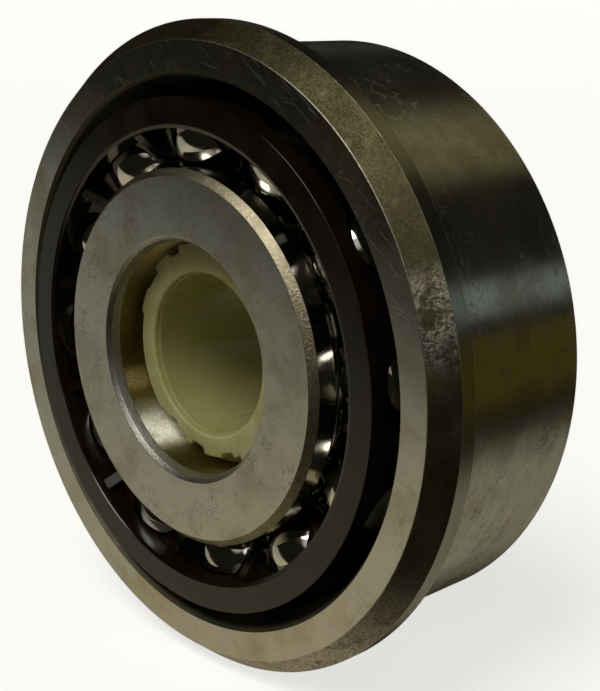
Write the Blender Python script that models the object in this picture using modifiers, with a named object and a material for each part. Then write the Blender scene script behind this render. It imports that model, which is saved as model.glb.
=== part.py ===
"""Double-row angular contact ball bearing with a flanged outer ring.

The bearing's axis lies along Y and its flanged front faces -Y. The origin is on the axis, half way
between the two rows of balls. Lengths are in metres.

Every turned piece is drawn as a profile of (radius, height) points, where height is measured along
the axis from the origin and grows towards the front. The pieces hang from one empty, which turns
that upright drawing frame so that its +Z points to the bearing's front.
"""

import math

import bmesh
import bpy
from mathutils import Matrix, Vector

# Driving dimensions.
BORE_RADIUS = 0.0125
BODY_RADIUS = 0.0325
FLANGE_RADIUS = 0.035
FLANGE_FACE_RADIUS = 0.033
FLANGE_FACE_HEIGHT = 0.01125
OUTER_WIDTH = 0.024
INNER_HALF_WIDTH = 0.01275

# Rolling set: two rows of balls that run on raised shoulders, so that each row takes thrust.
BALL_RADIUS = 0.0047625
BALLS_PER_ROW = 12
PITCH_RADIUS = 0.0232
ROW_HEIGHT = 0.0057
FIRST_BALL_ANGLE = math.radians(4.0)
CONTACT_ANGLE = math.radians(30.0)
RACE_GAP = 0.00035
RACE_RADIUS = BALL_RADIUS + RACE_GAP
BALL_STEP = 2.0 * math.pi / BALLS_PER_ROW

# Outer ring.
FLANGE_BEVEL = 0.0025
FLANGE_LAND = 0.0019
FLANGE_BACK_CHAMFER = 0.0003
FLANGE_BACK_INNER_RADIUS = 0.0326
RELIEF_DEPTH = 0.0003
RELIEF_WIDTH = 0.0008
REAR_CHAMFER = 0.0006
MOUTH_RADIUS = 0.0298
MOUTH_CHAMFER = 0.0004
OUTER_SHOULDER_RADIUS = 0.026

# Inner ring halves, which meet at the middle plane.
MEETING_GAP = 0.00015
INNER_SHOULDER_RADIUS = 0.02015
INNER_OUTSIDE_CHAMFER = 0.00075
INNER_ENTRY_RADIUS = 0.0132
INNER_ENTRY_DEPTH = 0.0013
INNER_MIDDLE_CHAMFER = 0.0003
LOW_SHOULDER_REACH = 0.0014

# Cages: a side ring on the outboard side of the balls, and bars whose pockets open to the middle.
CAGE_INNER_RADIUS = 0.0242
CAGE_OUTER_RADIUS = 0.0274
CAGE_FACE_HEIGHT = 0.01241
CAGE_HORN_REACH = 0.0023
CAGE_EDGE = 0.0003
WEB_INNER_RADIUS = 0.0216
WEB_TOP_OUTER = 0.0096
WEB_TOP_INNER = 0.0082
POCKET_RADIUS = BALL_RADIUS + 0.00045
POCKET_MOUTH_RADIUS = 0.00465
RIB_WIDTH = 0.0011
RIB_INNER_RADIUS = 0.0217
RIB_TOP_OUTER = 0.0116
RIB_TOP_INNER = 0.009

# Transport sleeve, which holds the two inner halves together until the shaft takes its place.
SLEEVE_RADIUS = 0.0122
SLEEVE_RIM_RADIUS = 0.0111
SLEEVE_MOUTH_RADIUS = 0.0091
SLEEVE_BORE_RADIUS = 0.0087
SLEEVE_WAIST_RADIUS = 0.0084
SLEEVE_END_HEIGHT = 0.0093
SLEEVE_RIM_LENGTH = 0.0019
SLEEVE_EDGE = 0.0003

# Lugs round the sleeve's front rim: middle angle, span in degrees, and outer radius.
LUGS = [
    (81.0, 46.0, 0.0121),
    (127.0, 14.0, 0.0118),
    (156.0, 14.0, 0.0115),
    (320.0, 46.0, 0.0121),
]
LUG_HEIGHT = 0.0094
LUG_INNER_RADIUS = 0.0105
LUG_ROOT_HEIGHT = 0.0068

# Facets around each kind of turned piece.
OUTER_SEGMENTS = 72
INNER_SEGMENTS = 56
CAGE_SEGMENTS = 60
SLEEVE_SEGMENTS = 40

COLLECTION_NAME = "angular_contact_bearing"


def clear_scene():
    for obj in list(bpy.data.objects):
        bpy.data.objects.remove(obj, do_unlink=True)


def new_collection(name):
    collection = bpy.data.collections.new(name)
    bpy.context.scene.collection.children.link(collection)
    return collection


def material(name, color, roughness, metallic):
    mat = bpy.data.materials.new(name)
    mat.use_nodes = True
    shader = mat.node_tree.nodes["Principled BSDF"]
    shader.inputs["Base Color"].default_value = (*color, 1.0)
    shader.inputs["Roughness"].default_value = roughness
    shader.inputs["Metallic"].default_value = metallic
    return mat


def arc(center, radius, start, end, steps):
    """Points on a circle in the (radius, height) plane; 0 degrees points away from the axis."""
    points = []
    for step in range(steps + 1):
        angle = start + (end - start) * step / steps
        points.append((center[0] + radius * math.cos(angle), center[1] + radius * math.sin(angle)))
    return points


def flip(profile):
    """Mirror a closed profile in the middle plane, keeping the direction it runs in."""
    return [(radius, -height) for radius, height in reversed(profile)]


def add_object(name, mesh, collection):
    obj = bpy.data.objects.new(name, mesh)
    collection.objects.link(obj)
    return obj


def bake(obj):
    """Replace an object's mesh with the one that its modifiers make."""
    bpy.context.view_layer.update()
    evaluated = obj.evaluated_get(bpy.context.evaluated_depsgraph_get())
    mesh = bpy.data.meshes.new_from_object(evaluated)
    mesh.name = obj.name
    obj.modifiers.clear()
    obj.data = mesh


def shade(obj, sharp_angle=math.radians(28.0)):
    obj.data.shade_smooth()
    obj.data.set_sharp_from_angle(angle=sharp_angle)


def turned(name, profile, segments, collection):
    """Turn a closed profile, which runs down its outer side, about the local Z axis."""
    edges = [(index, (index + 1) % len(profile)) for index in range(len(profile))]
    mesh = bpy.data.meshes.new(name)
    mesh.from_pydata([(radius, 0.0, height) for radius, height in profile], edges, [])
    obj = add_object(name, mesh, collection)
    screw = obj.modifiers.new("turn", "SCREW")
    screw.axis = "Z"
    screw.steps = segments
    screw.render_steps = segments
    screw.use_merge_vertices = True
    screw.merge_threshold = 0.00001
    bake(obj)
    return obj


def cut(obj, cutter, operation="DIFFERENCE"):
    boolean = obj.modifiers.new("cut_by_" + cutter.name, "BOOLEAN")
    boolean.operation = operation
    boolean.object = cutter
    bake(obj)


def make_cutter(obj):
    obj.hide_render = True
    obj.display_type = "WIRE"


def ball_place(index, side):
    """Centre of a ball in the drawing frame; side is 1 for the front row and -1 for the rear."""
    angle = FIRST_BALL_ANGLE + index * BALL_STEP
    return Vector((PITCH_RADIUS * math.cos(angle), PITCH_RADIUS * math.sin(angle), side * ROW_HEIGHT))


def outer_profile():
    rear = FLANGE_FACE_HEIGHT - OUTER_WIDTH
    flange_back = FLANGE_FACE_HEIGHT - FLANGE_BEVEL - FLANGE_LAND - FLANGE_BACK_CHAMFER
    relief_radius = BODY_RADIUS - RELIEF_DEPTH
    outside = [
        (FLANGE_FACE_RADIUS, FLANGE_FACE_HEIGHT),
        (FLANGE_RADIUS, FLANGE_FACE_HEIGHT - FLANGE_BEVEL),
        (FLANGE_RADIUS, flange_back + FLANGE_BACK_CHAMFER),
        (FLANGE_RADIUS - FLANGE_BACK_CHAMFER, flange_back),
        (FLANGE_BACK_INNER_RADIUS, flange_back),
        (relief_radius, flange_back - RELIEF_DEPTH),
        (relief_radius, flange_back - RELIEF_WIDTH),
        (BODY_RADIUS, flange_back - RELIEF_WIDTH - RELIEF_DEPTH),
        (BODY_RADIUS, rear + REAR_CHAMFER),
        (BODY_RADIUS - REAR_CHAMFER, rear),
    ]
    # Each race rises from its deepest line to the high shoulder between the rows, and opens
    # outwards past the ball so that the rings can be put together.
    shoulder = math.asin((OUTER_SHOULDER_RADIUS - PITCH_RADIUS) / RACE_RADIUS)
    race = arc((PITCH_RADIUS, ROW_HEIGHT), RACE_RADIUS, shoulder - math.pi / 2.0, 0.0, 4)
    front_inside = race + [
        (MOUTH_RADIUS - MOUTH_CHAMFER, FLANGE_FACE_HEIGHT - MOUTH_CHAMFER),
        (MOUTH_RADIUS, FLANGE_FACE_HEIGHT),
    ]
    rear_inside = [
        (MOUTH_RADIUS, rear),
        (MOUTH_RADIUS - MOUTH_CHAMFER, rear + MOUTH_CHAMFER),
    ] + flip(race)
    return outside + rear_inside + front_inside


def inner_profile():
    """The front half; the race reaches from the high shoulder at the face to a low one behind it."""
    face = INNER_HALF_WIDTH
    shoulder = math.acos((PITCH_RADIUS - INNER_SHOULDER_RADIUS) / RACE_RADIUS)
    low = math.asin(LOW_SHOULDER_REACH / RACE_RADIUS)
    race = arc((PITCH_RADIUS, ROW_HEIGHT), RACE_RADIUS, math.pi - shoulder, math.pi + low, 5)
    low_radius = race[-1][0]
    entry = INNER_ENTRY_RADIUS - BORE_RADIUS
    return [
        (INNER_SHOULDER_RADIUS - INNER_OUTSIDE_CHAMFER, face),
        (INNER_SHOULDER_RADIUS, face - INNER_OUTSIDE_CHAMFER),
        *race,
        (low_radius, MEETING_GAP + INNER_MIDDLE_CHAMFER),
        (low_radius - INNER_MIDDLE_CHAMFER, MEETING_GAP),
        (BORE_RADIUS + INNER_MIDDLE_CHAMFER, MEETING_GAP),
        (BORE_RADIUS, MEETING_GAP + INNER_MIDDLE_CHAMFER),
        (BORE_RADIUS, face - INNER_ENTRY_DEPTH),
        (BORE_RADIUS + 0.3 * entry, face - 0.4 * INNER_ENTRY_DEPTH),
        (INNER_ENTRY_RADIUS, face),
    ]


def cage_profile():
    """The front cage before its pockets are cut: the side ring, and the bars' inner webs below it."""
    horn_end = ROW_HEIGHT - CAGE_HORN_REACH
    return [
        (CAGE_OUTER_RADIUS - CAGE_EDGE, CAGE_FACE_HEIGHT),
        (CAGE_OUTER_RADIUS, CAGE_FACE_HEIGHT - CAGE_EDGE),
        (CAGE_OUTER_RADIUS, horn_end),
        (WEB_INNER_RADIUS, horn_end),
        (WEB_INNER_RADIUS, WEB_TOP_INNER),
        (CAGE_INNER_RADIUS, WEB_TOP_OUTER),
        (CAGE_INNER_RADIUS, CAGE_FACE_HEIGHT - CAGE_EDGE),
        (CAGE_INNER_RADIUS + CAGE_EDGE, CAGE_FACE_HEIGHT),
    ]


def sleeve_profile():
    """A straight tube, smaller over a short rim at each end, whose bore narrows to the middle."""
    end = SLEEVE_END_HEIGHT
    rim = end - SLEEVE_RIM_LENGTH
    front_outside = [
        (SLEEVE_RIM_RADIUS - SLEEVE_EDGE, end),
        (SLEEVE_RIM_RADIUS, end - SLEEVE_EDGE),
        (SLEEVE_RIM_RADIUS, rim),
        (SLEEVE_RADIUS, rim - SLEEVE_EDGE),
    ]
    front_inside = [
        (SLEEVE_WAIST_RADIUS, 0.0),
        (SLEEVE_BORE_RADIUS, end - 2.0 * SLEEVE_EDGE),
        (SLEEVE_MOUTH_RADIUS, end),
    ]
    return front_outside + flip(front_outside) + flip(front_inside)[:-1] + front_inside


def repeated(name, create, matrices, cutters, **size):
    """One cutter made of a primitive repeated at each of the matrices, which keep clear of each other."""
    mesh = bpy.data.meshes.new(name)
    shape = bmesh.new()
    for matrix in matrices:
        create(shape, matrix=matrix, **size)
    shape.to_mesh(mesh)
    shape.free()
    obj = add_object(name, mesh, cutters)
    make_cutter(obj)
    return obj


def pocket_cutter(name, side, cutters):
    """One sphere for each ball of a row."""
    places = [Matrix.Translation(ball_place(index, side)) for index in range(BALLS_PER_ROW)]
    return repeated(name, bmesh.ops.create_uvsphere, places, cutters,
                    u_segments=12, v_segments=8, radius=POCKET_RADIUS)


def pocket_mouth_cutter(name, side, cutters):
    """One round hole for each ball, from the middle of its pocket out through the cage's outer face."""
    reach = 2.0 * (CAGE_OUTER_RADIUS - PITCH_RADIUS)
    lay = Matrix.Translation((PITCH_RADIUS + reach / 2.0, 0.0, side * ROW_HEIGHT))
    lay = lay @ Matrix.Rotation(math.pi / 2.0, 4, "Y")
    places = []
    for index in range(BALLS_PER_ROW):
        places.append(Matrix.Rotation(FIRST_BALL_ANGLE + index * BALL_STEP, 4, "Z") @ lay)
    return repeated(name, bmesh.ops.create_cone, places, cutters, cap_ends=True, segments=16,
                    radius1=POCKET_MOUTH_RADIUS, radius2=POCKET_MOUTH_RADIUS, depth=reach)


def rib_profile():
    """A rib's side view: it slopes from the side ring down to the web's inner edge."""
    root_radius = CAGE_INNER_RADIUS + CAGE_EDGE
    root_height = WEB_TOP_INNER - CAGE_EDGE
    return [
        (root_radius, RIB_TOP_OUTER),
        (root_radius, root_height),
        (RIB_INNER_RADIUS, root_height),
        (RIB_INNER_RADIUS, RIB_TOP_INNER),
    ]


def ribs(name, side, cutters):
    """A ring with the ribs' profile, of which only a thin slice over each bar is kept."""
    profile = rib_profile() if side > 0 else flip(rib_profile())
    obj = turned(name, profile, CAGE_SEGMENTS, cutters)
    reach = 2.0 * (CAGE_INNER_RADIUS - WEB_INNER_RADIUS)
    lay = Matrix.Translation((CAGE_INNER_RADIUS - reach / 4.0, 0.0, side * CAGE_FACE_HEIGHT / 2.0))
    lay = lay @ Matrix.Diagonal((reach, RIB_WIDTH, CAGE_FACE_HEIGHT, 1.0))
    places = []
    for index in range(BALLS_PER_ROW):
        places.append(Matrix.Rotation(FIRST_BALL_ANGLE + (index + 0.5) * BALL_STEP, 4, "Z") @ lay)
    slices = repeated(name + "_slices", bmesh.ops.create_cube, places, cutters, size=1.0)
    cut(obj, slices, "INTERSECT")
    make_cutter(obj)
    return obj


def cage(name, side, parts, cutters):
    profile = cage_profile() if side > 0 else flip(cage_profile())
    obj = turned(name, profile, CAGE_SEGMENTS, parts)
    cut(obj, ribs(name + "_ribs", side, cutters), "UNION")
    cut(obj, pocket_cutter(name + "_pockets", side, cutters))
    cut(obj, pocket_mouth_cutter(name + "_pocket_mouths", side, cutters))
    shade(obj)
    return obj


def ball(name, index, side, mesh, parts):
    """The ball's own Z lies along the axis it rolls about, which leans by the contact angle."""
    place = ball_place(index, side)
    outward = Vector((place.x, place.y, 0.0)).normalized()
    roll_axis = Vector((0.0, 0.0, math.cos(CONTACT_ANGLE))) + side * math.sin(CONTACT_ANGLE) * outward
    obj = add_object(name, mesh, parts)
    obj.location = place
    obj.rotation_mode = "QUATERNION"
    obj.rotation_quaternion = roll_axis.to_track_quat("Z", "Y")
    return obj


def ball_mesh():
    mesh = bpy.data.meshes.new("ball")
    shape = bmesh.new()
    bmesh.ops.create_uvsphere(shape, u_segments=12, v_segments=8, radius=BALL_RADIUS)
    shape.to_mesh(mesh)
    shape.free()
    mesh.shade_smooth()
    return mesh


def lug(name, middle_angle, span, radius, cutters):
    """One lug at the sleeve's front rim: an arc of a ring, cut out by a wedge."""
    profile = [
        (radius - SLEEVE_EDGE, LUG_HEIGHT),
        (radius, LUG_HEIGHT - SLEEVE_EDGE),
        (radius, LUG_ROOT_HEIGHT),
        (LUG_INNER_RADIUS, LUG_ROOT_HEIGHT),
        (LUG_INNER_RADIUS, LUG_HEIGHT),
    ]
    obj = turned(name, profile, SLEEVE_SEGMENTS, cutters)
    reach = 2.0 * SLEEVE_RADIUS
    half_width = reach * math.tan(math.radians(span / 2.0))
    wedge = bmesh.new()
    corners = [(0.0, 0.0), (reach, -half_width), (reach, half_width)]
    bottom = [wedge.verts.new((x, y, 0.0)) for x, y in corners]
    base = wedge.faces.new(bottom)
    top = bmesh.ops.extrude_face_region(wedge, geom=[base])["geom"]
    raised = [item for item in top if isinstance(item, bmesh.types.BMVert)]
    bmesh.ops.translate(wedge, verts=raised, vec=(0.0, 0.0, 2.0 * LUG_HEIGHT))
    bmesh.ops.recalc_face_normals(wedge, faces=wedge.faces)
    bmesh.ops.rotate(wedge, verts=wedge.verts, matrix=Matrix.Rotation(math.radians(middle_angle), 3, "Z"))
    mesh = bpy.data.meshes.new(name + "_wedge")
    wedge.to_mesh(mesh)
    wedge.free()
    wedge_obj = add_object(name + "_wedge", mesh, cutters)
    make_cutter(wedge_obj)
    cut(obj, wedge_obj, "INTERSECT")
    make_cutter(obj)
    return obj


def sleeve(name, parts, cutters):
    obj = turned(name, sleeve_profile(), SLEEVE_SEGMENTS, parts)
    for number, (angle, span, radius) in enumerate(LUGS, start=1):
        cut(obj, lug(f"{name}_lug_{number}", angle, span, radius, cutters), "UNION")
    shade(obj)
    return obj


def ring(name, profile, segments, parts):
    obj = turned(name, profile, segments, parts)
    shade(obj)
    return obj


def build():
    clear_scene()
    parts = new_collection(COLLECTION_NAME)
    cutters = new_collection(COLLECTION_NAME + "_cutters")

    ground_steel = material("ground_steel", (0.42, 0.40, 0.34), 0.32, 1.0)
    matte_steel = material("matte_steel", (0.47, 0.46, 0.43), 0.45, 1.0)
    chrome_steel = material("chrome_steel", (0.72, 0.72, 0.72), 0.06, 1.0)
    cage_polymer = material("cage_polymer", (0.030, 0.022, 0.018), 0.42, 0.0)
    sleeve_plastic = material("sleeve_plastic", (0.66, 0.62, 0.42), 0.38, 0.0)

    axis = bpy.data.objects.new("bearing_axis", None)
    axis.rotation_euler = (math.pi / 2.0, 0.0, 0.0)
    parts.objects.link(axis)

    pieces = [
        (ring("outer_ring", outer_profile(), OUTER_SEGMENTS, parts), ground_steel),
        (ring("inner_ring_front", inner_profile(), INNER_SEGMENTS, parts), matte_steel),
        (ring("inner_ring_rear", flip(inner_profile()), INNER_SEGMENTS, parts), matte_steel),
        (cage("cage_front", 1, parts, cutters), cage_polymer),
        (cage("cage_rear", -1, parts, cutters), cage_polymer),
        (sleeve("transport_sleeve", parts, cutters), sleeve_plastic),
    ]
    for row, side in (("front", 1), ("rear", -1)):
        for index in range(BALLS_PER_ROW):
            name = f"ball_{row}_{index + 1:02d}"
            pieces.append((ball(name, index, side, ball_mesh(), parts), chrome_steel))

    for obj, mat in pieces:
        obj.data.materials.clear()
        obj.data.materials.append(mat)
        obj.parent = axis
    for cutter in cutters.objects:
        cutter.parent = axis


build()
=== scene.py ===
"""Looks for a double-row angular contact ball bearing with a flanged outer ring.

Everything is in metres, in the CAD's frame: the bearing's axis lies along Y and its front faces -Y.
Turned pieces are drawn as profiles of (radius, height) corners, with the height growing towards
the front, so that height h is y = -h.
"""

import math

import bmesh
import bpy
from mathutils import Matrix, Vector


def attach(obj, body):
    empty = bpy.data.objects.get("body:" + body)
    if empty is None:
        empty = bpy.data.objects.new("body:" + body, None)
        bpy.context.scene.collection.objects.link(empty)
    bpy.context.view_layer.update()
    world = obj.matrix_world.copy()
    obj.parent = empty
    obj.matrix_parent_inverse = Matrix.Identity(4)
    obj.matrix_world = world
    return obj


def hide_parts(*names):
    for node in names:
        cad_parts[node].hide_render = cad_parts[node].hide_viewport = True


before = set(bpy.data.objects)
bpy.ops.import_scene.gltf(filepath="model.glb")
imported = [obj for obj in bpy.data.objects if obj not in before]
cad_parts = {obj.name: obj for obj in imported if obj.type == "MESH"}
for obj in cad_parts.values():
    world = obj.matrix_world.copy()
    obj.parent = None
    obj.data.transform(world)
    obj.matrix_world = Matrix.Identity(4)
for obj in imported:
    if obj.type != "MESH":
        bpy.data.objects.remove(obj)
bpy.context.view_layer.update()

MM = 0.001
FRONT, REAR = 1, -1

# Sizes that the pieces share with the CAD.
BORE_RADIUS = 12.5 * MM
BODY_RADIUS = 32.5 * MM
FLANGE_RADIUS = 35.0 * MM
FLANGE_FACE_RADIUS = 33.0 * MM
FLANGE_FACE_HEIGHT = 11.25 * MM
FLANGE_BEVEL = 2.5 * MM
FLANGE_BACK_HEIGHT = 6.55 * MM
FLANGE_BACK_CHAMFER = 0.3 * MM
FLANGE_BACK_INNER_RADIUS = 32.6 * MM
RELIEF_DEPTH = 0.3 * MM
RELIEF_WIDTH = 0.8 * MM
OUTER_REAR_HEIGHT = -12.75 * MM
REAR_CHAMFER = 0.6 * MM
MOUTH_RADIUS = 29.8 * MM
MOUTH_CHAMFER = 0.4 * MM
OUTER_SHOULDER_RADIUS = 26.0 * MM

BALL_RADIUS = 4.7625 * MM
BALLS_PER_ROW = 12
BALL_STEP = 2.0 * math.pi / BALLS_PER_ROW
FIRST_BALL_ANGLE = math.radians(4.0)
PITCH_RADIUS = 23.2 * MM
ROW_HEIGHT = 5.7 * MM
CONTACT_ANGLE = math.radians(30.0)
RACE_RADIUS = BALL_RADIUS + 0.35 * MM

INNER_FACE_HEIGHT = 12.75 * MM
INNER_SHOULDER_RADIUS = 20.15 * MM
INNER_OUTSIDE_CHAMFER = 0.75 * MM
INNER_ENTRY_RADIUS = 13.2 * MM
INNER_ENTRY_DEPTH = 1.3 * MM
INNER_MIDDLE_CHAMFER = 0.3 * MM
MEETING_GAP = 0.15 * MM
LOW_SHOULDER_REACH = 1.4 * MM

CAGE_INNER_RADIUS = 24.2 * MM
CAGE_OUTER_RADIUS = 27.4 * MM
CAGE_FACE_HEIGHT = 12.41 * MM
CAGE_HORN_HEIGHT = 3.4 * MM
WEB_INNER_RADIUS = 21.6 * MM
WEB_TOP_INNER = 8.2 * MM
WEB_TOP_OUTER = 9.6 * MM
RIB_TOP_INNER = 9.0 * MM
RIB_TOP_OUTER = 11.6 * MM
POCKET_MOUTH_RADIUS = 4.65 * MM

SLEEVE_RADIUS = 12.2 * MM
SLEEVE_RIM_RADIUS = 11.1 * MM
SLEEVE_RIM_LENGTH = 1.9 * MM
SLEEVE_BORE_RADIUS = 8.7 * MM
SLEEVE_WAIST_RADIUS = 8.4 * MM
SLEEVE_END_HEIGHT = 9.3 * MM

# Sizes and fillets that only the looks have.
SHARP_FILLET = 0.05 * MM
EDGE_FILLET = 0.08 * MM
ROUND_FILLET = 0.1 * MM
SOFT_FILLET = 0.12 * MM
POCKET_RADIUS = BALL_RADIUS + 0.18 * MM
RIB_HALF_WIDTH = 0.62 * MM
RIB_FLANK_ANGLE = 0.002
CAGE_LIP_WIDTH = 0.42 * MM
CAGE_LIP_DEPTH = 0.2 * MM
CAGE_LIP_EDGE = 0.06 * MM
CAGE_EDGE_WIDTH = 0.03 * MM
CAGE_SHARP_ANGLE = math.radians(40.0)
WELD_DISTANCE = 0.004 * MM
LUG_RADIUS = 11.6 * MM
LUG_RISE = 0.3 * MM
LUG_LIFT = 0.1 * MM

# The sleeve's ragged front rim: the angle in degrees where each step starts, and its radius in mm.
RIM_STEPS = [
    (58.0, 12.1), (110.0, 11.35), (119.0, 11.85), (134.0, 11.2), (148.0, 11.5), (164.0, 11.05),
    (224.0, 10.6), (232.0, 10.1), (240.0, 10.6), (249.0, 11.05), (255.0, 10.45), (266.0, 11.25),
    (282.0, 10.8), (292.0, 11.45), (298.0, 12.1), (344.0, 11.3),
]

# The turn in degrees over which one step of the rim goes over into the next.
RIM_STEP_RAMP = 1.6

# Steps round the axis and along the raceways, and how often a ball's faces are split.
RING_STEPS = 240
CAGE_SECTOR_STEPS = 16
SLEEVE_STEPS = 480
RACE_STEPS = 18
INNER_RACE_STEPS = 20
BALL_SUBDIVISIONS = 4
POCKET_MOUTH_STEPS = 72


# ---------------------------------------------------------------------------------------------
# Profiles and meshes
# ---------------------------------------------------------------------------------------------


def arc(center, radius, start, end, steps, surface):
    """Corners along an arc in the (radius, height) plane, without rounding."""
    corners = []
    for step in range(steps + 1):
        angle = start + (end - start) * step / steps
        point = (center[0] + radius * math.cos(angle), center[1] + radius * math.sin(angle))
        corners.append((*point, surface))
    return corners


def rounded(corners, fillet_steps=4):
    """A closed profile with its rounded corners filled in, as [(point, surface of the next edge)].

    A corner is (radius, height, surface) or (radius, height, surface, fillet, edge surface).
    """
    outline = []
    count = len(corners)
    for index, corner in enumerate(corners):
        point = Vector(corner[:2])
        if len(corner) == 3:
            outline.append((point, corner[2]))
            continue
        before = (Vector(corners[index - 1][:2]) - point).normalized()
        after = (Vector(corners[(index + 1) % count][:2]) - point).normalized()
        half_angle = before.angle(after) / 2.0
        reach = corner[3] / math.tan(half_angle)
        center = point + (before + after).normalized() * corner[3] / math.sin(half_angle)
        first = (point + before * reach - center).normalized()
        last = (point + after * reach - center).normalized()
        for step in range(fillet_steps + 1):
            surface = corner[4] if step < fillet_steps else corner[2]
            outline.append((center + corner[3] * first.slerp(last, step / fillet_steps), surface))
    return outline


def flipped(corners):
    """The same profile for the rear side, running the same way round."""
    turned_over = []
    count = len(corners)
    for index in range(count - 1, -1, -1):
        radius, height = corners[index][:2]
        surface = corners[index - 1][2]
        turned_over.append((radius, -height, surface, *corners[index][3:]))
    return turned_over


def around_axis(radius, angle, height):
    """The point at an angle round Y, counted from +X towards +Z."""
    return Vector((radius * math.cos(angle), -height, radius * math.sin(angle)))


def link(name, mesh):
    piece = bpy.data.objects.new(name, mesh)
    bpy.context.scene.collection.objects.link(piece)
    return piece


def smooth(mesh, sharp_angle=math.radians(34.0)):
    mesh.shade_smooth()
    mesh.set_sharp_from_angle(angle=sharp_angle)


def turned(name, corners_at, materials, steps=RING_STEPS):
    """Profiles carried once round Y, with each of their edges' faces in that edge's material."""
    outlines = [rounded(corners_at(2.0 * math.pi * step / steps)) for step in range(steps)]
    outline = outlines[0]
    names = sorted({surface for _, surface in outline})
    vertices, faces, slots = [], [], []
    for step in range(steps):
        angle = 2.0 * math.pi * step / steps
        vertices += [around_axis(radius, angle, height) for (radius, height), _ in outlines[step]]
    count = len(outline)
    for step in range(steps):
        near = step * count
        far = (step + 1) % steps * count
        for index, (_, surface) in enumerate(outline):
            beyond = (index + 1) % count
            faces.append((near + index, near + beyond, far + beyond, far + index))
            slots.append(names.index(surface))
    mesh = bpy.data.meshes.new(name)
    mesh.from_pydata(vertices, [], faces)
    mesh.polygons.foreach_set("material_index", slots)
    for surface in names:
        mesh.materials.append(materials[surface])
    fix_normals(mesh)
    smooth(mesh)
    piece = link(name, mesh)
    flatten_shading(piece)
    return piece


def fix_normals(mesh):
    shape = bmesh.new()
    shape.from_mesh(mesh)
    bmesh.ops.recalc_face_normals(shape, faces=shape.faces)
    shape.to_mesh(mesh)
    shape.free()


def bake_modifiers(piece):
    bpy.context.view_layer.update()
    evaluated = piece.evaluated_get(bpy.context.evaluated_depsgraph_get())
    mesh = bpy.data.meshes.new_from_object(evaluated)
    piece.modifiers.clear()
    piece.data = mesh


def cut(piece, tool):
    boolean = piece.modifiers.new("cut", "BOOLEAN")
    boolean.operation = "DIFFERENCE"
    boolean.solver = "EXACT"
    boolean.object = tool
    bake_modifiers(piece)
    bpy.data.objects.remove(tool)


def flatten_shading(piece):
    """Lets the large faces keep their own normals, so that only the fillets beside them blend."""
    weighted = piece.modifiers.new("weighted", "WEIGHTED_NORMAL")
    weighted.mode = "FACE_AREA"
    weighted.weight = 100
    weighted.keep_sharp = True
    bake_modifiers(piece)


# ---------------------------------------------------------------------------------------------
# Material nodes
# ---------------------------------------------------------------------------------------------


def put(socket, value):
    """Link a socket, or set a constant."""
    if isinstance(value, bpy.types.NodeSocket):
        socket.id_data.links.new(value, socket)
    else:
        socket.default_value = value


def add(tree, kind, inputs=(), **settings):
    node = tree.nodes.new(kind)
    for key, value in settings.items():
        setattr(node, key, value)
    for key, value in dict(inputs).items():
        put(node.inputs[key], value)
    return node


def calc(tree, operation, first, second=0.0, third=0.0):
    inputs = {0: first, 1: second, 2: third}
    return add(tree, "ShaderNodeMath", inputs, operation=operation).outputs[0]


def ramp(tree, value, low, high, to_low=0.0, to_high=1.0):
    inputs = {"Value": value, "From Min": low, "From Max": high, "To Min": to_low, "To Max": to_high}
    return add(tree, "ShaderNodeMapRange", inputs, interpolation_type="SMOOTHSTEP").outputs["Result"]


def blend(tree, factor, first, second):
    node = add(tree, "ShaderNodeMix", data_type="RGBA")
    put(node.inputs[0], factor)
    put(node.inputs[6], (*first, 1.0) if isinstance(first, tuple) else first)
    put(node.inputs[7], (*second, 1.0) if isinstance(second, tuple) else second)
    return node.outputs[2]


def noise(tree, vector, scale=1.0, detail=3.0, roughness=0.55):
    inputs = {"Vector": vector, "Scale": scale, "Detail": detail, "Roughness": roughness}
    return add(tree, "ShaderNodeTexNoise", inputs).outputs["Fac"]


def vector_of(tree, x, y, z):
    return add(tree, "ShaderNodeCombineXYZ", {0: x, 1: y, 2: z}).outputs[0]


def place(tree):
    """The surface point in the piece's own frame."""
    return add(tree, "ShaderNodeTexCoord").outputs["Object"]


def split(tree, vector):
    node = add(tree, "ShaderNodeSeparateXYZ", {0: vector})
    return node.outputs[0], node.outputs[1], node.outputs[2]


def off_axis(tree, x, z):
    """The distance from the bearing's axis."""
    return calc(tree, "SQRT", calc(tree, "MULTIPLY_ADD", x, x, calc(tree, "MULTIPLY", z, z)))


def along_angle(tree, angle, first, second):
    """How far a point of a plane lies in a direction, given in radians from the first axis."""
    across = calc(tree, "MULTIPLY", second, math.sin(angle))
    return calc(tree, "MULTIPLY_ADD", first, math.cos(angle), across)


def scaled(color, factor):
    return tuple(min(1.0, factor * channel) for channel in color)


def turning_marks(tree, fine, coarse):
    """Noise drawn out into lines that run round the bearing's axis."""
    x, y, z = split(tree, place(tree))
    radius = off_axis(tree, x, z)
    across = calc(tree, "MULTIPLY_ADD", y, 0.62, radius)
    lines = vector_of(
        tree,
        calc(tree, "MULTIPLY", across, fine),
        calc(tree, "MULTIPLY", calc(tree, "DIVIDE", x, radius), coarse),
        calc(tree, "MULTIPLY", calc(tree, "DIVIDE", z, radius), coarse),
    )
    return noise(tree, lines, detail=4.0)


def scratches(tree, angle, fine, coarse, seed, low, high):
    """Sparse straight marks across a flat face that looks along Y."""
    x, _, z = split(tree, place(tree))
    along = calc(tree, "MULTIPLY", along_angle(tree, angle, x, z), coarse)
    across = calc(tree, "MULTIPLY", along_angle(tree, -angle, z, x), fine)
    return ramp(tree, noise(tree, vector_of(tree, along, across, seed), detail=2.0), low, high)


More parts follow.
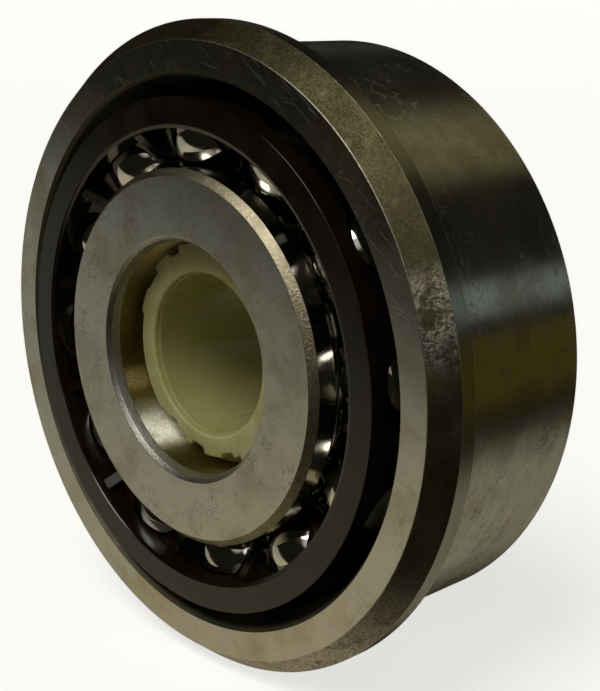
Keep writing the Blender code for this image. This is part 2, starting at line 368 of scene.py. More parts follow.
def hairlines(tree, scale, width, cover, seed):
    """Fine curved marks in a few places: level lines of a smooth noise."""
    x, y, z = split(tree, place(tree))
    where = vector_of(tree, calc(tree, "ADD", x, seed), y, z)
    level = calc(tree, "ABSOLUTE", calc(tree, "SUBTRACT", noise(tree, where, scale, 2.0), 0.5))
    kept = ramp(tree, noise(tree, where, scale * 0.3, 2.0), cover, cover + 0.08)
    return calc(tree, "MULTIPLY", ramp(tree, level, width, width * 0.2), kept)


def near_angle(tree, angle, half_width):
    """A soft patch at an angle round the axis; both values are in degrees."""
    x, _, z = split(tree, place(tree))
    along = along_angle(tree, math.radians(angle), x, z)
    low, high = math.cos(math.radians(half_width)), math.cos(math.radians(half_width * 0.25))
    return ramp(tree, calc(tree, "DIVIDE", along, off_axis(tree, x, z)), low, high)


def bump(tree, height, distance):
    return add(tree, "ShaderNodeBump", {"Height": height, "Distance": distance}).outputs["Normal"]


def new_material(name):
    material = bpy.data.materials.new(name)
    material.use_nodes = True
    tree = material.node_tree
    return material, tree, tree.nodes["Principled BSDF"]


# Turns a metal's stretched highlights from along the grinding lines to across them.
QUARTER_TURN = 0.25


class Skin:
    """A metal's colour, roughness and height, built up layer by layer from noises that they share.

    Noise scales are in features per metre.
    """

    def __init__(self, tree, color, roughness):
        self.tree = tree
        self.color = color
        where = place(tree)
        self.clouds = noise(tree, where, 160.0, 5.0, 0.6)
        self.patches = noise(tree, where, 420.0, 4.0, 0.65)
        self.fine = noise(tree, where, 3600.0, 3.0, 0.7)
        self.shade = color
        self.height = 0.0
        self.rough = ramp(tree, self.clouds, 0.3, 0.7, roughness * 0.85, roughness * 1.2)
        self.roughen(self.fine, roughness * 0.25)

    def tint(self, where, amount, color):
        self.shade = blend(self.tree, calc(self.tree, "MULTIPLY", where, amount), self.shade, color)

    def roughen(self, where, amount):
        self.rough = calc(self.tree, "MULTIPLY_ADD", where, amount, self.rough)

    def lift(self, where, amount):
        self.height = calc(self.tree, "MULTIPLY_ADD", where, amount, self.height)

    def stain(self, amount, color):
        self.tint(ramp(self.tree, self.clouds, 0.46, 0.68), amount, color)

    def mottle(self, amount):
        self.tint(ramp(self.tree, self.patches, 0.40, 0.75), amount, scaled(self.color, 0.55))

    def grind(self, amount):
        """Fine lines round the axis."""
        lines = turning_marks(self.tree, 9000.0, 9.0)
        self.tint(ramp(self.tree, lines, 0.40, 0.66), amount, scaled(self.color, 0.55))
        self.lift(lines, amount)

    def speckle(self, amount):
        self.tint(ramp(self.tree, self.fine, 0.52, 0.70), amount, scaled(self.color, 1.7))
        self.lift(self.fine, amount)

    def mark(self, amount):
        """Stray straight scratches, lighter and rougher than what is round them."""
        for index, (angle, low) in enumerate(((0.5, 0.66), (1.35, 0.68), (2.5, 0.67), (2.9, 0.70))):
            mark = scratches(self.tree, angle, 7000.0, 160.0, 3.7 * index, low, low + 0.06)
            self.tint(mark, amount, scaled(self.color, 1.35))
            self.roughen(mark, 0.10 * amount)
            self.lift(mark, -amount)

    def scuff(self, amount, stain_color):
        """Dark hairlines and specks."""
        tree = self.tree
        coarse, fine = hairlines(tree, 420.0, 0.035, 0.52, 0.3), hairlines(tree, 700.0, 0.03, 0.55, 0.7)
        lines = calc(tree, "ADD", coarse, fine)
        specks = ramp(tree, noise(tree, place(tree), 2400.0, 2.0), 0.66, 0.74)
        self.tint(lines, 0.5 * amount, scaled(self.color, 0.55))
        self.tint(specks, amount, scaled(stain_color, 0.5))
        self.roughen(lines, 0.12 * amount)

    def paint_light_and_shade(self, angle, half_width, color, speckle):
        """A patch of another colour with a fine grain, at an angle round the axis: painted light where it is
        lighter, painted shade where it is darker.
        """
        tree = self.tree
        dark, light = scaled(color, 1.0 - 0.55 * speckle), scaled(color, 1.0 + 0.70 * speckle)
        grained = blend(tree, ramp(tree, self.fine, 0.36, 0.66), dark, light)
        self.tint(near_angle(tree, angle, half_width), ramp(tree, self.patches, 0.28, 0.50), grained)

    def chip(self, angle, half_width, color):
        """Bright raised chips, at an angle round the axis."""
        tree = self.tree
        patch = ramp(tree, self.patches, 0.34, 0.56)
        patch = calc(tree, "MULTIPLY", near_angle(tree, angle, half_width), patch)
        chips = noise(tree, place(tree), 2600.0, 3.0, 0.6)
        self.tint(patch, ramp(tree, chips, 0.38, 0.62, 0.15, 1.0), color)
        self.lift(calc(tree, "MULTIPLY", patch, chips), 3.2)


def metal(name, color, roughness, grain=0.0, stain=0.25, stain_color=(0.30, 0.24, 0.13), mottle=0.12,
          speckle=0.0, marks=0.0, around=0.0, relief=0.006, scuffs=0.0, painted_light_and_shade=(), chipped=()):
    """Steel with stains, grinding lines, speckle, stray marks and patches of painted light and shade; relief
    is in millimetres.
    """
    material, tree, shader = new_material(name)
    skin = Skin(tree, color, roughness)
    skin.stain(stain, stain_color)
    skin.mottle(mottle)
    if grain:
        skin.grind(grain)
    if speckle:
        skin.speckle(speckle)
    if marks:
        skin.mark(marks)
    if scuffs:
        skin.scuff(scuffs, stain_color)
    for angle, half_width, painted_color in painted_light_and_shade:
        skin.paint_light_and_shade(angle, half_width, painted_color, speckle)
    for angle, half_width, chip_color in chipped:
        skin.chip(angle, half_width, chip_color)
    put(shader.inputs["Base Color"], skin.shade)
    put(shader.inputs["Roughness"], skin.rough)
    put(shader.inputs["Normal"], bump(tree, skin.height, relief * MM))
    shader.inputs["Metallic"].default_value = 1.0
    if around:
        shader.inputs["Anisotropic"].default_value = around
        shader.inputs["Anisotropic Rotation"].default_value = QUARTER_TURN
        tangent = add(tree, "ShaderNodeTangent", direction_type="RADIAL", axis="Y")
        put(shader.inputs["Tangent"], tangent.outputs[0])
    return material


def polymer(name):
    """Dark moulded polymer, satin, with a fine uneven skin."""
    material, tree, shader = new_material(name)
    where = place(tree)
    clouds = noise(tree, where, 300.0, 4.0, 0.6)
    skin = noise(tree, where, 5000.0, 3.0, 0.6)
    shade = blend(tree, ramp(tree, clouds, 0.35, 0.7), (0.008, 0.0045, 0.003), (0.014, 0.009, 0.007))
    put(shader.inputs["Base Color"], shade)
    put(shader.inputs["Roughness"], ramp(tree, clouds, 0.3, 0.7, 0.13, 0.19))
    put(shader.inputs["Normal"], bump(tree, skin, 0.006 * MM))
    shader.inputs["IOR"].default_value = 1.56
    return material


def plastic(name):
    """Cream translucent plastic with flow lines along the tube, and painted shade inside its bore."""
    material, tree, shader = new_material(name)
    where = place(tree)
    x, y, z = split(tree, where)
    stretched = vector_of(tree, calc(tree, "MULTIPLY", x, 900.0), calc(tree, "MULTIPLY", y, 60.0),
                          calc(tree, "MULTIPLY", z, 900.0))
    flow = noise(tree, stretched, 1.0, 3.0, 0.5)
    clouds = noise(tree, where, 220.0, 3.0, 0.5)
    shade = blend(tree, ramp(tree, clouds, 0.3, 0.7), (0.66, 0.64, 0.29), (0.77, 0.76, 0.41))
    shade = blend(tree, calc(tree, "MULTIPLY", ramp(tree, flow, 0.35, 0.7), 0.35), shade, (0.54, 0.51, 0.20))
    # Painted shade: the wall inside the sleeve's bore is blended towards a dark olive.
    bore_shade = ramp(tree, off_axis(tree, x, z), SLEEVE_BORE_RADIUS + 0.4 * MM, SLEEVE_BORE_RADIUS + 0.1 * MM)
    shade = blend(tree, calc(tree, "MULTIPLY", bore_shade, 0.5), shade, (0.34, 0.33, 0.12))
    put(shader.inputs["Base Color"], shade)
    put(shader.inputs["Roughness"], ramp(tree, flow, 0.3, 0.7, 0.24, 0.36))
    put(shader.inputs["Normal"], bump(tree, flow, 0.03 * MM))
    shader.inputs["Subsurface Weight"].default_value = 0.4
    shader.inputs["Subsurface Radius"].default_value = (1.0, 0.85, 0.35)
    shader.inputs["Subsurface Scale"].default_value = 2.0 * MM
    shader.inputs["IOR"].default_value = 1.50
    return material


def chrome(name):
    """A lapped steel ball, with a faint running track round its rolling axis and hair scratches."""
    material, tree, shader = new_material(name)
    where = place(tree)
    along = add(tree, "ShaderNodeAttribute", attribute_name="along_axis").outputs["Fac"]
    track = ramp(tree, calc(tree, "ABSOLUTE", along), 0.12, 0.24, 1.0, 0.0)
    wisps = noise(tree, where, 700.0, 5.0, 0.65)
    hairs = noise(tree, vector_of(tree, 0.0, 0.0, calc(tree, "MULTIPLY", along, 120.0)), 1.0, 2.0)
    track = calc(tree, "MULTIPLY", track, ramp(tree, hairs, 0.35, 0.65))
    shade = blend(tree, calc(tree, "MULTIPLY", track, 0.35), (0.73, 0.72, 0.69), (0.56, 0.54, 0.50))
    shade = blend(tree, ramp(tree, wisps, 0.55, 0.8, 0.0, 0.4), shade, (0.48, 0.42, 0.32))
    rough = ramp(tree, wisps, 0.3, 0.75, 0.05, 0.11)
    put(shader.inputs["Base Color"], shade)
    put(shader.inputs["Roughness"], calc(tree, "MULTIPLY_ADD", track, 0.08, rough))
    put(shader.inputs["Normal"], bump(tree, wisps, 0.004 * MM))
    shader.inputs["Metallic"].default_value = 1.0
    return material


STEEL = (0.60, 0.59, 0.545)
BROWN_STAIN = (0.34, 0.27, 0.12)

# Each metal surface's colour, roughness and layers. Patches of painted light and shade, and chipped patches,
# are each an angle round the axis, a half width in degrees and a colour.
METALS = {
    "flange_face": dict(
        color=STEEL, roughness=0.15, stain=0.4, stain_color=BROWN_STAIN, mottle=0.14, marks=0.35,
        scuffs=0.35,
    ),
    "flange_bevel": dict(
        color=(0.150, 0.134, 0.078), roughness=0.42, stain=0.35, mottle=0.45, speckle=0.7, relief=0.022,
        scuffs=0.5,
        # The dark patch round the top (80 degrees) is painted shade and the light patch round the bottom
        # (290 degrees) is painted light.
        painted_light_and_shade=[(80.0, 74.0, (0.085, 0.076, 0.038)), (290.0, 48.0, (0.56, 0.51, 0.45))],
        chipped=[(16.0, 9.5, (0.76, 0.70, 0.59))],
    ),
    "flange_land": dict(color=(0.40, 0.39, 0.33), roughness=0.22, grain=0.25, stain=0.4, around=0.6),
    "body": dict(
        color=(0.59, 0.58, 0.51), roughness=0.20, grain=0.40, stain=0.60, mottle=0.38, speckle=0.22,
        around=0.8, scuffs=0.8,
    ),
    "worn_edge": dict(
        color=(0.62, 0.58, 0.48), roughness=0.32, stain=0.4, mottle=0.8, speckle=0.8, relief=0.03,
    ),
    "rear_face": dict(color=STEEL, roughness=0.22, mottle=0.12, marks=0.35, scuffs=0.3),
    "race": dict(color=(0.58, 0.55, 0.47), roughness=0.10, grain=0.08, stain=0.3),
    # The mouth's dark colour is painted shade in the ring's recesses.
    "mouth": dict(color=(0.17, 0.172, 0.125), roughness=0.55, grain=0.2, stain=0.4),
    "inner_face": dict(
        color=(0.58, 0.58, 0.54), roughness=0.20, stain=0.35, mottle=0.26, marks=0.3, scuffs=0.7,
    ),
    "inner_chamfer": dict(
        color=(0.50, 0.44, 0.31), roughness=0.34, stain=0.5, mottle=0.6, speckle=0.9, relief=0.085,
    ),
    "inner_land": dict(color=(0.56, 0.54, 0.48), roughness=0.16, grain=0.25, stain=0.4),
    "bore": dict(
        color=(0.42, 0.34, 0.14), roughness=0.42, grain=0.3, stain=0.3, speckle=0.3, around=1.0,
        # The two bright patches are painted highlights, placed where the lamps reflect in the bore.
        painted_light_and_shade=[(202.0, 8.0, (0.85, 0.72, 0.34)), (230.0, 18.0, (1.0, 0.98, 0.76))],
    ),
    "bore_entry": dict(color=(0.42, 0.415, 0.39), roughness=0.34, stain=0.35, speckle=0.9, relief=0.07),
}


def make_materials():
    materials = {name: metal(name, **look) for name, look in METALS.items()}
    materials["ball"] = chrome("ball_steel")
    materials["cage"] = polymer("cage_polymer")
    materials["sleeve"] = plastic("sleeve_plastic")
    return materials


# ---------------------------------------------------------------------------------------------
# Pieces
# ---------------------------------------------------------------------------------------------


def outer_ring_outside():
    """The flange, the relief groove behind it, the ground body and its rear chamfer."""
    back = FLANGE_BACK_HEIGHT
    groove = BODY_RADIUS - RELIEF_DEPTH
    return [
        (FLANGE_FACE_RADIUS, FLANGE_FACE_HEIGHT, "flange_bevel", 0.14 * MM, "worn_edge"),
        (FLANGE_RADIUS, FLANGE_FACE_HEIGHT - FLANGE_BEVEL, "flange_land", SOFT_FILLET, "worn_edge"),
        (FLANGE_RADIUS, back + FLANGE_BACK_CHAMFER, "flange_land", EDGE_FILLET, "worn_edge"),
        (FLANGE_RADIUS - FLANGE_BACK_CHAMFER, back, "rear_face", EDGE_FILLET, "worn_edge"),
        (FLANGE_BACK_INNER_RADIUS, back, "mouth"),
        (groove, back - RELIEF_DEPTH, "mouth", SOFT_FILLET, "mouth"),
        (groove, back - RELIEF_WIDTH, "mouth", SOFT_FILLET, "mouth"),
        (BODY_RADIUS, back - RELIEF_WIDTH - RELIEF_DEPTH, "body", EDGE_FILLET, "body"),
        (BODY_RADIUS, OUTER_REAR_HEIGHT + REAR_CHAMFER, "worn_edge", ROUND_FILLET, "worn_edge"),
        (BODY_RADIUS - REAR_CHAMFER, OUTER_REAR_HEIGHT, "rear_face", EDGE_FILLET, "worn_edge"),
    ]


def outer_ring_corners():
    shoulder = math.asin((OUTER_SHOULDER_RADIUS - PITCH_RADIUS) / RACE_RADIUS)
    race_center = (PITCH_RADIUS, ROW_HEIGHT)
    race = arc(race_center, RACE_RADIUS, shoulder - math.pi / 2.0, 0.0, RACE_STEPS, "race")
    rear_race = [(radius, -height, surface) for radius, height, surface in reversed(race)]
    rear_race[-1] = (*rear_race[-1][:2], "mouth")
    race[-1] = (*race[-1][:2], "mouth")
    rear_mouth = [
        (MOUTH_RADIUS, OUTER_REAR_HEIGHT, "worn_edge", 0.06 * MM, "worn_edge"),
        (MOUTH_RADIUS - MOUTH_CHAMFER, OUTER_REAR_HEIGHT + MOUTH_CHAMFER, "mouth", EDGE_FILLET, "mouth"),
    ]
    front_mouth = [
        (MOUTH_RADIUS - 0.35 * MM, FLANGE_FACE_HEIGHT - 0.45 * MM, "mouth", 0.25 * MM, "mouth"),
        (MOUTH_RADIUS, FLANGE_FACE_HEIGHT, "flange_face", SHARP_FILLET, "mouth"),
    ]
    return outer_ring_outside() + rear_mouth + rear_race + race + front_mouth


def inner_ring_corners():
    face = INNER_FACE_HEIGHT
    chamfer = INNER_MIDDLE_CHAMFER
    shoulder = math.acos((PITCH_RADIUS - INNER_SHOULDER_RADIUS) / RACE_RADIUS)
    low = math.asin(LOW_SHOULDER_REACH / RACE_RADIUS)
    race_center = (PITCH_RADIUS, ROW_HEIGHT)
    race = arc(race_center, RACE_RADIUS, math.pi - shoulder, math.pi + low, INNER_RACE_STEPS, "race")
    low_radius = race[-1][0]
    race[-1] = (*race[-1][:2], "inner_land")
    return [
        (INNER_SHOULDER_RADIUS - INNER_OUTSIDE_CHAMFER, face, "inner_chamfer", 0.07 * MM, "worn_edge"),
        (INNER_SHOULDER_RADIUS, face - INNER_OUTSIDE_CHAMFER, "inner_land", EDGE_FILLET, "worn_edge"),
        *race,
        (low_radius, MEETING_GAP + chamfer, "inner_land", SHARP_FILLET, "inner_land"),
        (low_radius - chamfer, MEETING_GAP, "inner_face"),
        (BORE_RADIUS + chamfer, MEETING_GAP, "inner_face"),
        (BORE_RADIUS, MEETING_GAP + chamfer, "bore"),
        (BORE_RADIUS, face - INNER_ENTRY_DEPTH, "bore_entry", 0.5 * MM, "bore_entry"),
        (BORE_RADIUS + 0.28 * MM, face - 0.42 * MM, "bore_entry", 0.4 * MM, "bore_entry"),
        (INNER_ENTRY_RADIUS, face, "inner_face", ROUND_FILLET, "worn_edge"),
    ]


def cage_corners(ribbed=False):
    """The cage's profile between its bars' ribs, or through one of the ribs."""
    inside = CAGE_INNER_RADIUS
    lip = CAGE_FACE_HEIGHT - CAGE_LIP_DEPTH
    top_inner, top_outer = (RIB_TOP_INNER, RIB_TOP_OUTER) if ribbed else (WEB_TOP_INNER, WEB_TOP_OUTER)
    return [
        (CAGE_OUTER_RADIUS, CAGE_FACE_HEIGHT, "cage", ROUND_FILLET, "cage"),
        (CAGE_OUTER_RADIUS, CAGE_HORN_HEIGHT, "cage"),
        (WEB_INNER_RADIUS, CAGE_HORN_HEIGHT, "cage"),
        (WEB_INNER_RADIUS, top_inner, "cage"),
        (inside, top_outer, "cage"),
        (inside, lip, "cage"),
        (inside + CAGE_LIP_WIDTH - CAGE_LIP_EDGE, lip + CAGE_LIP_EDGE, "cage"),
        (inside + CAGE_LIP_WIDTH, CAGE_FACE_HEIGHT, "cage"),
    ]


def cutter(name, create, placing, **size):
    """A closed shape to cut with, made by one of bmesh's own primitives."""
    mesh = bpy.data.meshes.new(name)
    shape = bmesh.new()
    create(shape, matrix=placing, **size)
    shape.to_mesh(mesh)
    shape.free()
    return link(name, mesh)


def cage_stations():
    """The angles where one ball's share of the cage has a profile, and whether a rib is there."""
    bar = BALL_STEP / 2.0
    rib = RIB_HALF_WIDTH / CAGE_INNER_RADIUS
    web = bar - rib - RIB_FLANK_ANGLE
    stations = [(-bar, True), (-bar + rib, True)]
    for step in range(CAGE_SECTOR_STEPS + 1):
        stations.append((web * (2.0 * step / CAGE_SECTOR_STEPS - 1.0), False))
    return stations + [(bar - rib, True), (bar, True)]


def solid_sector(name, side):
    """One ball's share of the cage before its pocket is cut."""
    mesh = bpy.data.meshes.new(name)
    shape = bmesh.new()
    ends = []
    for turn, ribbed in cage_stations():
        corners = cage_corners(ribbed) if side == FRONT else flipped(cage_corners(ribbed))
        outline = [point for point, _ in rounded(corners)]
        angle = FIRST_BALL_ANGLE + turn
        ends.append([shape.verts.new(around_axis(radius, angle, height)) for radius, height in outline])
    for near, far in zip(ends, ends[1:]):
        for index in range(len(near)):
            beyond = (index + 1) % len(near)
            shape.faces.new((near[index], near[beyond], far[beyond], far[index]))
    shape.faces.new(ends[0])
    shape.faces.new(ends[-1])
    bmesh.ops.recalc_face_normals(shape, faces=shape.faces)
    shape.to_mesh(mesh)
    shape.free()
    return link(name, mesh)


def cage_sector(name, side, materials):
    """One ball's share of the cage, closed by a flat face at the middle of the rib on each bar."""
    piece = solid_sector(name, side)
    piece.data.materials.append(materials["cage"])
    ball_center = around_axis(PITCH_RADIUS, FIRST_BALL_ANGLE, side * ROW_HEIGHT)
    cut(piece, cutter("pocket", bmesh.ops.create_icosphere, Matrix.Translation(ball_center),
                      subdivisions=BALL_SUBDIVISIONS, radius=POCKET_RADIUS))
    reach = 2.0 * (CAGE_OUTER_RADIUS - PITCH_RADIUS)
    lay = Matrix.Translation((PITCH_RADIUS + reach / 2.0, -side * ROW_HEIGHT, 0.0))
    lay = lay @ Matrix.Rotation(math.pi / 2.0, 4, "Y")
    mouth = Matrix.Rotation(-FIRST_BALL_ANGLE, 4, "Y") @ lay
    cut(piece, cutter("mouth", bmesh.ops.create_cone, mouth, cap_ends=True, segments=POCKET_MOUTH_STEPS,
                      radius1=POCKET_MOUTH_RADIUS, radius2=POCKET_MOUTH_RADIUS, depth=reach))
    return piece


def cage(name, side, materials):
    """The sector repeated round the axis and welded where its end faces met."""
    piece = cage_sector(name, side, materials)
    shape = bmesh.new()
    shape.from_mesh(piece.data)
    for half in (-0.5, 0.5):
        angle = FIRST_BALL_ANGLE + half * BALL_STEP
        along = Vector((-math.sin(angle), 0.0, math.cos(angle)))
        caps = [face for face in shape.faces if abs(face.normal.dot(along)) > 0.999
                and abs(face.calc_center_median().dot(along)) < WELD_DISTANCE / 4.0]
        bmesh.ops.delete(shape, geom=caps, context="FACES")
    sector = list(shape.verts) + list(shape.edges) + list(shape.faces)
    for index in range(1, BALLS_PER_ROW):
        copy = bmesh.ops.duplicate(shape, geom=sector)["geom"]
        points = [item for item in copy if isinstance(item, bmesh.types.BMVert)]
        turn = Matrix.Rotation(-index * BALL_STEP, 3, "Y")
        bmesh.ops.rotate(shape, verts=points, cent=(0.0, 0.0, 0.0), matrix=turn)
    bmesh.ops.remove_doubles(shape, verts=shape.verts, dist=WELD_DISTANCE)
    shape.to_mesh(piece.data)
    shape.free()
    edges = piece.modifiers.new("edges", "BEVEL")
    edges.width = CAGE_EDGE_WIDTH
    edges.segments = 2
    edges.limit_method = "ANGLE"
    edges.angle_limit = CAGE_SHARP_ANGLE
    bake_modifiers(piece)
    smooth(piece.data, CAGE_SHARP_ANGLE)
    flatten_shading(piece)
    return piece


def ball(name, index, side, material):
    """A ball whose vertices know how far along its leaning rolling axis they lie, from -1 to 1."""
    angle = FIRST_BALL_ANGLE + index * BALL_STEP
    outward = around_axis(1.0, angle, 0.0)
    axis = Vector((0.0, -math.cos(CONTACT_ANGLE), 0.0)) + side * math.sin(CONTACT_ANGLE) * outward
    mesh = bpy.data.meshes.new(name)
    shape = bmesh.new()
    bmesh.ops.create_icosphere(shape, subdivisions=BALL_SUBDIVISIONS, radius=BALL_RADIUS)
    shape.to_mesh(mesh)
    shape.free()
    along = mesh.attributes.new("along_axis", "FLOAT", "POINT")
    along.data.foreach_set("value", [vertex.co.dot(axis) / BALL_RADIUS for vertex in mesh.vertices])
    mesh.shade_smooth()
    mesh.materials.append(material)
    piece = link(name, mesh)
    piece.location = around_axis(PITCH_RADIUS, angle, side * ROW_HEIGHT)
    return piece


def rim_radius(angle):
    """The ragged rim's radius, with a short ramp between one step and the next."""
    turn = math.degrees(angle) % 360.0
    radius = RIM_STEPS[-1][1]
    for start, step_radius in RIM_STEPS:
        if turn < start:
            break
        radius += (step_radius - radius) * min(1.0, (turn - start) / RIM_STEP_RAMP)
    return radius * MM


def sleeve_corners(angle):
    """The profile at an angle; where the rim is widest, its steps also stand a little higher."""
    end = SLEEVE_END_HEIGHT
    rim_root = end - SLEEVE_RIM_LENGTH
    ragged = rim_radius(angle)
    lift = LUG_LIFT * min(1.0, max(0.0, (ragged - LUG_RADIUS) / LUG_RISE))
    front = [
        (ragged, end + lift, "sleeve", 0.14 * MM, "sleeve"),
        (ragged - 0.05 * MM, rim_root, "sleeve"),
        (SLEEVE_RADIUS, rim_root - 0.2 * MM, "sleeve", ROUND_FILLET, "sleeve"),
    ]
    rear = [
        (SLEEVE_RADIUS, -rim_root + 0.2 * MM, "sleeve", ROUND_FILLET, "sleeve"),
        (SLEEVE_RIM_RADIUS, -rim_root, "sleeve"),
        (SLEEVE_RIM_RADIUS, -end, "sleeve", 0.25 * MM, "sleeve"),
    ]
    inside = [
        (SLEEVE_WAIST_RADIUS, 0.0, "sleeve"),
        (SLEEVE_BORE_RADIUS, end - 0.75 * MM, "sleeve"),
        (SLEEVE_BORE_RADIUS + 0.16 * MM, end - 0.62 * MM, "sleeve", SHARP_FILLET, "sleeve"),
        (SLEEVE_BORE_RADIUS + 0.22 * MM, end - 0.18 * MM, "sleeve"),
        (SLEEVE_BORE_RADIUS + 0.42 * MM, end, "sleeve", SOFT_FILLET, "sleeve"),
    ]
    return front + rear + flipped(inside)[:-1] + inside


def sleeve(name, materials):
    return turned(name, sleeve_corners, materials, steps=SLEEVE_STEPS)


def fit(piece, body, node):
    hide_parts(node)
    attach(piece, body)


def build_pieces(materials):
    ring = turned("outer_ring_steel", lambda angle: outer_ring_corners(), materials)
    fit(ring, "outer", "outer_ring")
    front = turned("inner_ring_front_steel", lambda angle: inner_ring_corners(), materials)
    fit(front, "inner_rings", "inner_ring_front")
    rear = turned("inner_ring_rear_steel", lambda angle: flipped(inner_ring_corners()), materials)
    fit(rear, "inner_rings", "inner_ring_rear")
    fit(sleeve("sleeve_plastic", materials), "sleeve", "transport_sleeve")
    for row, side in (("front", FRONT), ("rear", REAR)):
        fit(cage(f"cage_{row}_polymer", side, materials), f"cage_{row}", f"cage_{row}")
        for index in range(BALLS_PER_ROW):
            node = f"ball_{row}_{index + 1:02d}"
            fit(ball(node + "_steel", index, side, materials["ball"]), node, node)


# ---------------------------------------------------------------------------------------------
# Studio
# ---------------------------------------------------------------------------------------------

# Soft lamps and walls round the bearing, each as seen from it:
# azimuth (0 is the front, 90 is +X), elevation, angle of its even middle and of its outer edge,
# and colour.
CARDS = [
    (10.0, 58.0, 13.0, 17.0, (4.6, 4.5, 4.15)),
    (32.0, 38.0, 6.0, 22.0, (0.45, 0.43, 0.37)),
    (60.0, 24.0, 4.0, 12.0, (0.95, 0.92, 0.82)),
    (62.0, 50.0, 4.0, 10.0, (0.40, 0.38, 0.33)),
    (35.0, 62.0, 12.0, 45.0, (0.05, 0.045, 0.033)),
    (180.0, -2.0, 12.0, 27.0, (0.15, 0.145, 0.12)),
]

# Long strips that lie along the bearing's axis behind it: angle about the axis from +X towards +Z,
# half widths of the even middle and of the outer edge, and colour.
STRIPS = [
    (-78.0, 21.0, 42.0, (0.27, 0.25, 0.187)),
    (-12.5, 13.0, 17.0, (0.055, 0.041, 0.002)),
    (16.0, 2.0, 9.0, (0.20, 0.23, 0.235)),
    (82.0, 6.0, 20.0, (0.185, 0.168, 0.078)),
    (155.0, 2.0, 8.0, (0.05, 0.05, 0.042)),
]

# The room's own light, the table's colours, and the direction square to the table's far edge.
AMBIENT = (0.009, 0.008, 0.005)
TABLE_FAR = (0.275, 0.273, 0.22)
TABLE_NEAR = (0.42, 0.369, 0.246)
TABLE_EDGE = (0.232, -0.5103, 0.8281)
TABLE_EDGE_BLUR = 0.045

# Where the strips and the table fade in, as the part of a viewing direction along one axis: Y for the
# strips' two ends; Z, Y and X for the table; and Z for the blend from its far colour to its near one.
STRIP_FRONT_END = (0.05, 0.30)
STRIP_REAR_END = (0.92, 0.82)
TABLE_HORIZON = (-0.06, -0.12)
TABLE_REAR_END = (0.5, 0.3)
TABLE_RIGHT_END = (0.35, -0.55)
TABLE_BLEND = (-0.20, -0.45)

# The floor's flat radius, the radius of its curve up into the wall, and the wall's height.
FLOOR_RADIUS = 0.9
FLOOR_CURVE_RADIUS = 1.2
FLOOR_CURVE_STEPS = 15
FLOOR_STEPS = 96
WALL_HEIGHT = 4.0

CAMERA_PLACE = (0.1065, -0.0971, 0.0358)
CAMERA_TURN = (math.radians(75.84), 0.0, math.radians(46.29))
CAMERA_LENS_MM = 69.3
CAMERA_SENSOR_MM = 36.0
CAMERA_REACH = (0.005, 20.0)


def direction(azimuth, elevation):
    a, e = math.radians(azimuth), math.radians(elevation)
    return (math.sin(a) * math.cos(e), -math.cos(a) * math.cos(e), math.sin(e))


def tinted(tree, amount, color):
    node = add(tree, "ShaderNodeVectorMath", {0: color, "Scale": amount}, operation="SCALE")
    return node.outputs["Vector"]


def toward(tree, looking, vector):
    """How far a viewing direction points along a vector."""
    node = add(tree, "ShaderNodeVectorMath", {0: looking, 1: vector}, operation="DOT_PRODUCT")
    return node.outputs["Value"]


def within_angle(tree, cosine, inner, outer):
    """A patch that is even up to the inner angle and gone past the outer one."""
    return ramp(tree, cosine, math.cos(math.radians(outer)), math.cos(math.radians(inner)))


def cards(tree, looking):
    patches = []
    for azimuth, elevation, inner, outer, color in CARDS:
        near = toward(tree, looking, direction(azimuth, elevation))
        patches.append(tinted(tree, within_angle(tree, near, inner, outer), color))
    return patches


def strips(tree, looking):
    x, y, z = split(tree, looking)
    behind = calc(tree, "MULTIPLY", ramp(tree, y, *STRIP_FRONT_END), ramp(tree, y, *STRIP_REAR_END))
    side_length = off_axis(tree, x, z)
    patches = []
    for middle, inner, outer, color in STRIPS:
        a = math.radians(middle)
        near = calc(tree, "DIVIDE", toward(tree, looking, (math.cos(a), 0.0, math.sin(a))), side_length)
        amount = calc(tree, "MULTIPLY", within_angle(tree, near, inner, outer), behind)
        patches.append(tinted(tree, amount, color))
    return patches


def table(tree, looking):
    """The lit table, with its far edge, its fall-off to the sides and a warmer near part."""
    x, y, z = split(tree, looking)
    lit = ramp(tree, toward(tree, looking, TABLE_EDGE), TABLE_EDGE_BLUR, -TABLE_EDGE_BLUR)
    for value, (start, full) in ((z, TABLE_HORIZON), (y, TABLE_REAR_END), (x, TABLE_RIGHT_END)):
        lit = calc(tree, "MULTIPLY", lit, ramp(tree, value, start, full))
    return tinted(tree, lit, blend(tree, ramp(tree, z, *TABLE_BLEND), TABLE_FAR, TABLE_NEAR))


def studio_world():
    """A dim room with a lit table below and soft lamps, as smooth patches on the sky."""
    world = bpy.data.worlds.new("studio")
    bpy.context.scene.world = world
    world.use_nodes = True
    tree = world.node_tree
    looking = add(tree, "ShaderNodeTexCoord").outputs["Generated"]
    total = vector_of(tree, *AMBIENT)
    for patch in [*cards(tree, looking), *strips(tree, looking), table(tree, looking)]:
        node = add(tree, "ShaderNodeVectorMath", {0: total, 1: patch}, operation="ADD")
        total = node.outputs["Vector"]
    put(tree.nodes["Background"].inputs["Color"], total)


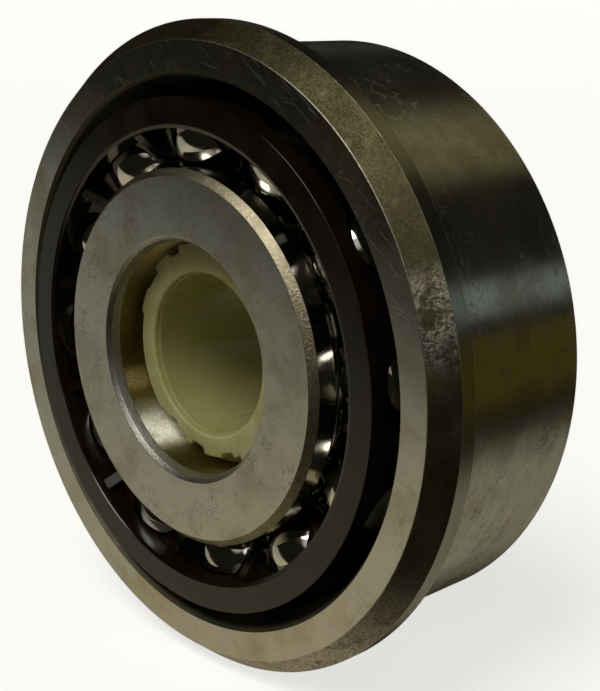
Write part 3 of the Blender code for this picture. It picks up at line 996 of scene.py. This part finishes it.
def floor_profile():
    """The floor's (radius, rise) outline, from the middle out and up the wall."""
    profile = [(0.0, 0.0), (FLOOR_RADIUS, 0.0)]
    for step in range(1, FLOOR_CURVE_STEPS + 1):
        a = math.pi / 2.0 * step / FLOOR_CURVE_STEPS
        rise = FLOOR_CURVE_RADIUS - FLOOR_CURVE_RADIUS * math.cos(a)
        profile.append((FLOOR_RADIUS + FLOOR_CURVE_RADIUS * math.sin(a), rise))
    profile.append((FLOOR_RADIUS + FLOOR_CURVE_RADIUS, WALL_HEIGHT))
    return profile


def floor_mesh():
    shape = bmesh.new()
    rings = []
    for radius, rise in floor_profile():
        ring = []
        for step in range(FLOOR_STEPS if radius else 1):
            turn = 2.0 * math.pi * step / FLOOR_STEPS
            corner = (radius * math.cos(turn), radius * math.sin(turn), rise - FLANGE_RADIUS)
            ring.append(shape.verts.new(corner))
        rings.append(ring)
    for below, above in zip(rings, rings[1:]):
        for step in range(FLOOR_STEPS):
            after = (step + 1) % FLOOR_STEPS
            if len(below) == 1:
                shape.faces.new((below[0], above[step], above[after]))
            else:
                shape.faces.new((below[step], above[step], above[after], below[after]))
    mesh = bpy.data.meshes.new("studio_floor")
    bmesh.ops.recalc_face_normals(shape, faces=shape.faces)
    shape.to_mesh(mesh)
    shape.free()
    mesh.shade_smooth()
    return mesh


def pale_paper():
    material, _, shader = new_material("pale_paper")
    put(shader.inputs["Base Color"], (0.80, 0.80, 0.79, 1.0))
    put(shader.inputs["Roughness"], 0.9)
    put(shader.inputs["Emission Color"], (1.0, 1.0, 0.99, 1.0))
    put(shader.inputs["Emission Strength"], 0.70)
    return material


def studio_floor():
    """A pale floor that curves up into a pale wall. It takes shadows but adds no reflections."""
    mesh = floor_mesh()
    mesh.materials.append(pale_paper())
    floor = link("studio_floor", mesh)
    floor.visible_glossy = False
    floor.visible_diffuse = False
    floor.visible_transmission = False
    floor.visible_shadow = False


def studio_camera():
    data = bpy.data.cameras.new("camera")
    data.sensor_width = CAMERA_SENSOR_MM
    data.lens = CAMERA_LENS_MM
    data.clip_start, data.clip_end = CAMERA_REACH
    camera = bpy.data.objects.new("camera", data)
    camera.location = CAMERA_PLACE
    camera.rotation_euler = CAMERA_TURN
    bpy.context.scene.collection.objects.link(camera)
    bpy.context.scene.camera = camera


def build_scene():
    build_pieces(make_materials())
    studio_world()
    studio_floor()
    studio_camera()
    bpy.context.scene.view_settings.view_transform = "Standard"


build_scene()
